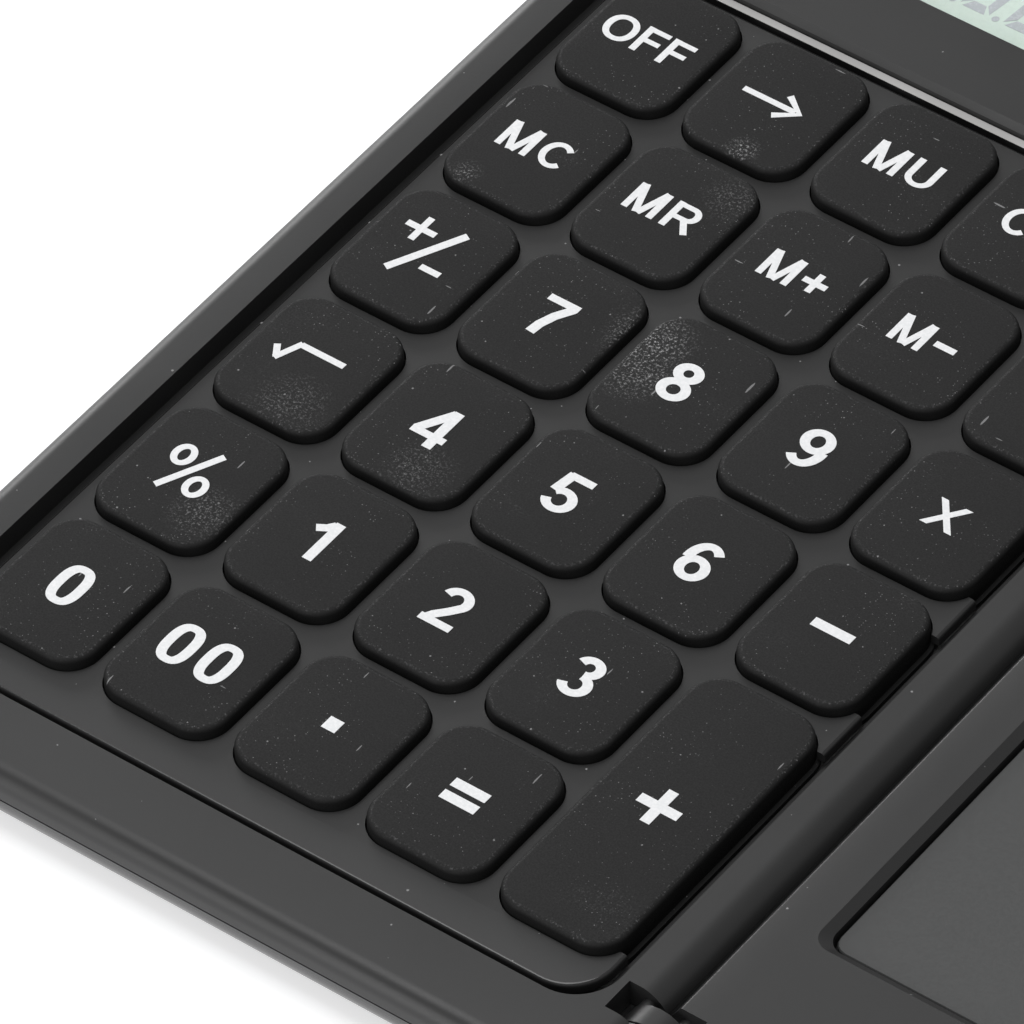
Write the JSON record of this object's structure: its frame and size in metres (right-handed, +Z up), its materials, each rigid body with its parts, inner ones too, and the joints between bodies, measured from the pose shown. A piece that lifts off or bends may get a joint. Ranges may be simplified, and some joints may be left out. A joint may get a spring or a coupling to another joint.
{
  "type": "folding desk calculator",
  "caption": "Slim dark desk calculator that folds like a book: rounded-square rubber keys and a display on one leaf, an erasable writing tablet on the other.",
  "frame": {"origin": "on the desk, under the gap between the two leaves when they lie open, half way along them", "axes": "+Z up, +Y away from the user towards the display, +X from the keypad leaf to the tablet leaf"},
  "size_m": [0.2002, 0.1732, 0.0089],
  "materials": {
    "shell": "fine satin texture, dark grey",
    "plate": "satin dark grey",
    "key": "matte black with white legends",
    "trim": "polished silver strip",
    "window": "clear acrylic lens",
    "lcd": "pale green reflective display",
    "board": "green solder resist",
    "silicone": "soft grey",
    "steel": "nickel-plated",
    "film": "dark satin writing film",
    "rubber": "black non-slip",
    "stylus": "black"
  },
  "bodies": {
    "calculator_leaf": {"calculator_upper_shell": "shell", "calculator_lower_shell": "shell", "key_plate": "plate", "trim_strip": "trim", "display_window": "window", "lcd_module": "lcd", "lcd_connector_strip": "silicone", "calculator_circuit_board": "board", "key_membrane": "silicone", "calculator_coin_cell": "steel", "calculator_battery_cover": "shell", "calculator_cover_screw": "steel", "calculator_foot_front": "rubber", "calculator_foot_back": "rubber"},
    "hinge_links": {"hinge_link_front": "shell", "hinge_link_back": "shell"},
    "tablet_leaf": {"tablet_upper_frame": "shell", "tablet_lower_shell": "shell", "writing_film": "film", "tablet_circuit_board": "board", "tablet_coin_cell": "steel", "tablet_battery_cover": "shell", "tablet_cover_screw": "steel", "tablet_foot_front": "rubber", "tablet_foot_back": "rubber"},
    "key_0_body": {"key_0": "key"},
    "key_00_body": {"key_00": "key"},
    "key_point_body": {"key_point": "key"},
    "key_equals_body": {"key_equals": "key"},
    "key_plus_body": {"key_plus": "key"},
    "key_percent_body": {"key_percent": "key"},
    "key_1_body": {"key_1": "key"},
    "key_2_body": {"key_2": "key"},
    "key_3_body": {"key_3": "key"},
    "key_square_root_body": {"key_square_root": "key"},
    "key_4_body": {"key_4": "key"},
    "key_5_body": {"key_5": "key"},
    "key_6_body": {"key_6": "key"},
    "key_minus_body": {"key_minus": "key"},
    "key_change_sign_body": {"key_change_sign": "key"},
    "key_7_body": {"key_7": "key"},
    "key_8_body": {"key_8": "key"},
    "key_9_body": {"key_9": "key"},
    "key_times_body": {"key_times": "key"},
    "key_memory_clear_body": {"key_memory_clear": "key"},
    "key_memory_recall_body": {"key_memory_recall": "key"},
    "key_memory_plus_body": {"key_memory_plus": "key"},
    "key_memory_minus_body": {"key_memory_minus": "key"},
    "key_divide_body": {"key_divide": "key"},
    "key_off_body": {"key_off": "key"},
    "key_backspace_body": {"key_backspace": "key"},
    "key_mark_up_body": {"key_mark_up": "key"},
    "key_clear_body": {"key_clear": "key"},
    "key_on_body": {"key_on": "key"},
    "erase_button_body": {"erase_button": "key"},
    "lock_slider_body": {"lock_slider": "key"},
    "stylus_body": {"stylus": "stylus"}
  },
  "joints": [
    {"name": "link_turn", "type": "hinge", "parent": "calculator_leaf", "child": "hinge_links", "pos_m": [-0.00235, 0, 0.0066], "axis": [0, -1, 0], "range_deg": [0, 90]},
    {"name": "tablet_turn", "type": "hinge", "parent": "hinge_links", "child": "tablet_leaf", "pos_m": [0.00235, 0, 0.0066], "axis": [0, -1, 0], "range_deg": [0, 90]},
    {"name": "key_0_press", "type": "slide", "parent": "calculator_leaf", "child": "key_0_body", "axis": [0, 0, -1], "range_m": [0, 0.0008], "stiffness_N_per_m": 800, "springref_m": -0.0006},
    {"name": "key_00_press", "type": "slide", "parent": "calculator_leaf", "child": "key_00_body", "axis": [0, 0, -1], "range_m": [0, 0.0008], "stiffness_N_per_m": 800, "springref_m": -0.0006},
    {"name": "key_point_press", "type": "slide", "parent": "calculator_leaf", "child": "key_point_body", "axis": [0, 0, -1], "range_m": [0, 0.0008], "stiffness_N_per_m": 800, "springref_m": -0.0006},
    {"name": "key_equals_press", "type": "slide", "parent": "calculator_leaf", "child": "key_equals_body", "axis": [0, 0, -1], "range_m": [0, 0.0008], "stiffness_N_per_m": 800, "springref_m": -0.0006},
    {"name": "key_plus_press", "type": "slide", "parent": "calculator_leaf", "child": "key_plus_body", "axis": [0, 0, -1], "range_m": [0, 0.0008], "stiffness_N_per_m": 800, "springref_m": -0.0006},
    {"name": "key_percent_press", "type": "slide", "parent": "calculator_leaf", "child": "key_percent_body", "axis": [0, 0, -1], "range_m": [0, 0.0008], "stiffness_N_per_m": 800, "springref_m": -0.0006},
    {"name": "key_1_press", "type": "slide", "parent": "calculator_leaf", "child": "key_1_body", "axis": [0, 0, -1], "range_m": [0, 0.0008], "stiffness_N_per_m": 800, "springref_m": -0.0006},
    {"name": "key_2_press", "type": "slide", "parent": "calculator_leaf", "child": "key_2_body", "axis": [0, 0, -1], "range_m": [0, 0.0008], "stiffness_N_per_m": 800, "springref_m": -0.0006},
    {"name": "key_3_press", "type": "slide", "parent": "calculator_leaf", "child": "key_3_body", "axis": [0, 0, -1], "range_m": [0, 0.0008], "stiffness_N_per_m": 800, "springref_m": -0.0006},
    {"name": "key_square_root_press", "type": "slide", "parent": "calculator_leaf", "child": "key_square_root_body", "axis": [0, 0, -1], "range_m": [0, 0.0008], "stiffness_N_per_m": 800, "springref_m": -0.0006},
    {"name": "key_4_press", "type": "slide", "parent": "calculator_leaf", "child": "key_4_body", "axis": [0, 0, -1], "range_m": [0, 0.0008], "stiffness_N_per_m": 800, "springref_m": -0.0006},
    {"name": "key_5_press", "type": "slide", "parent": "calculator_leaf", "child": "key_5_body", "axis": [0, 0, -1], "range_m": [0, 0.0008], "stiffness_N_per_m": 800, "springref_m": -0.0006},
    {"name": "key_6_press", "type": "slide", "parent": "calculator_leaf", "child": "key_6_body", "axis": [0, 0, -1], "range_m": [0, 0.0008], "stiffness_N_per_m": 800, "springref_m": -0.0006},
    {"name": "key_minus_press", "type": "slide", "parent": "calculator_leaf", "child": "key_minus_body", "axis": [0, 0, -1], "range_m": [0, 0.0008], "stiffness_N_per_m": 800, "springref_m": -0.0006},
    {"name": "key_change_sign_press", "type": "slide", "parent": "calculator_leaf", "child": "key_change_sign_body", "axis": [0, 0, -1], "range_m": [0, 0.0008], "stiffness_N_per_m": 800, "springref_m": -0.0006},
    {"name": "key_7_press", "type": "slide", "parent": "calculator_leaf", "child": "key_7_body", "axis": [0, 0, -1], "range_m": [0, 0.0008], "stiffness_N_per_m": 800, "springref_m": -0.0006},
    {"name": "key_8_press", "type": "slide", "parent": "calculator_leaf", "child": "key_8_body", "axis": [0, 0, -1], "range_m": [0, 0.0008], "stiffness_N_per_m": 800, "springref_m": -0.0006},
    {"name": "key_9_press", "type": "slide", "parent": "calculator_leaf", "child": "key_9_body", "axis": [0, 0, -1], "range_m": [0, 0.0008], "stiffness_N_per_m": 800, "springref_m": -0.0006},
    {"name": "key_times_press", "type": "slide", "parent": "calculator_leaf", "child": "key_times_body", "axis": [0, 0, -1], "range_m": [0, 0.0008], "stiffness_N_per_m": 800, "springref_m": -0.0006},
    {"name": "key_memory_clear_press", "type": "slide", "parent": "calculator_leaf", "child": "key_memory_clear_body", "axis": [0, 0, -1], "range_m": [0, 0.0008], "stiffness_N_per_m": 800, "springref_m": -0.0006},
    {"name": "key_memory_recall_press", "type": "slide", "parent": "calculator_leaf", "child": "key_memory_recall_body", "axis": [0, 0, -1], "range_m": [0, 0.0008], "stiffness_N_per_m": 800, "springref_m": -0.0006},
    {"name": "key_memory_plus_press", "type": "slide", "parent": "calculator_leaf", "child": "key_memory_plus_body", "axis": [0, 0, -1], "range_m": [0, 0.0008], "stiffness_N_per_m": 800, "springref_m": -0.0006},
    {"name": "key_memory_minus_press", "type": "slide", "parent": "calculator_leaf", "child": "key_memory_minus_body", "axis": [0, 0, -1], "range_m": [0, 0.0008], "stiffness_N_per_m": 800, "springref_m": -0.0006},
    {"name": "key_divide_press", "type": "slide", "parent": "calculator_leaf", "child": "key_divide_body", "axis": [0, 0, -1], "range_m": [0, 0.0008], "stiffness_N_per_m": 800, "springref_m": -0.0006},
    {"name": "key_off_press", "type": "slide", "parent": "calculator_leaf", "child": "key_off_body", "axis": [0, 0, -1], "range_m": [0, 0.0008], "stiffness_N_per_m": 800, "springref_m": -0.0006},
    {"name": "key_backspace_press", "type": "slide", "parent": "calculator_leaf", "child": "key_backspace_body", "axis": [0, 0, -1], "range_m": [0, 0.0008], "stiffness_N_per_m": 800, "springref_m": -0.0006},
    {"name": "key_mark_up_press", "type": "slide", "parent": "calculator_leaf", "child": "key_mark_up_body", "axis": [0, 0, -1], "range_m": [0, 0.0008], "stiffness_N_per_m": 800, "springref_m": -0.0006},
    {"name": "key_clear_press", "type": "slide", "parent": "calculator_leaf", "child": "key_clear_body", "axis": [0, 0, -1], "range_m": [0, 0.0008], "stiffness_N_per_m": 800, "springref_m": -0.0006},
    {"name": "key_on_press", "type": "slide", "parent": "calculator_leaf", "child": "key_on_body", "axis": [0, 0, -1], "range_m": [0, 0.0008], "stiffness_N_per_m": 800, "springref_m": -0.0006},
    {"name": "erase_press", "type": "slide", "parent": "tablet_leaf", "child": "erase_button_body", "axis": [0, 0, -1], "range_m": [0, 0.0007], "stiffness_N_per_m": 800, "springref_m": -0.0006},
    {"name": "erase_lock", "type": "slide", "parent": "tablet_leaf", "child": "lock_slider_body", "axis": [1, 0, 0], "range_m": [0, 0.003]},
    {"name": "stylus_draw", "type": "slide", "parent": "tablet_leaf", "child": "stylus_body", "axis": [0, 1, 0], "range_m": [0, 0.115]}
  ],
  "couplings": [
    {"joint": "tablet_turn", "follows": "link_turn", "ratio": 1}
  ]
}
